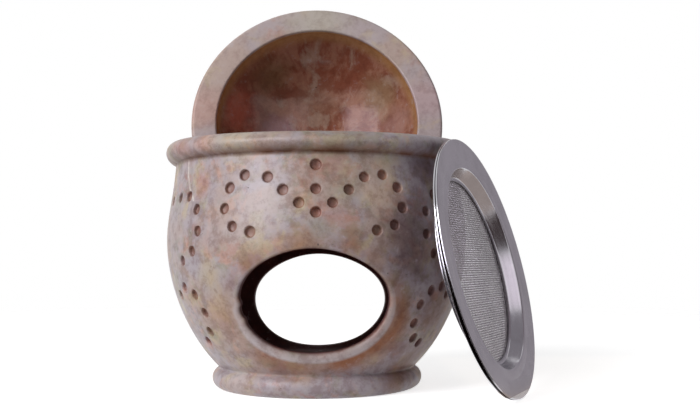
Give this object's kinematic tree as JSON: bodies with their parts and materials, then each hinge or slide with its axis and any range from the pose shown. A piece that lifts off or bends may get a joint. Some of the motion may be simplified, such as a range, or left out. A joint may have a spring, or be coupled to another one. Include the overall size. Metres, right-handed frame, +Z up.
{
  "type": "essential oil burner",
  "caption": "Turned soapstone pot with oval candle openings and drilled dots, a loose stone oil bowl stood in its mouth, and a steel wire sieve leaning on its side.",
  "frame": {"origin": "centre of the foot's underside, on the pot's axis", "axes": "+Z up along the pot's axis, -Y out of the front candle opening, +X to the side that the sieve leans on"},
  "size_m": [0.1212, 0.1176, 0.1287],
  "materials": {
    "pot_stone": "waxed, mottled",
    "bowl_stone": "waxed, mottled",
    "sieve_steel": "polished sheet",
    "sieve_wire": "woven wire"
  },
  "bodies": {
    "burner": {"burner_body": "pot_stone"},
    "bowl": {"oil_bowl": "bowl_stone"},
    "sieve": {"sieve_flange": "sieve_steel", "sieve_mesh": "sieve_wire", "sieve_clamp_ring": "sieve_steel"}
  },
  "joints": [
    {"name": "bowl_lift", "type": "slide", "parent": "burner", "child": "bowl", "axis": [0, 0, 1], "range_m": [0, 0.06]},
    {"name": "sieve_lift", "type": "slide", "parent": "burner", "child": "sieve", "axis": [0.6361, -0.3089, 0.7071], "range_m": [0, 0.08]}
  ]
}
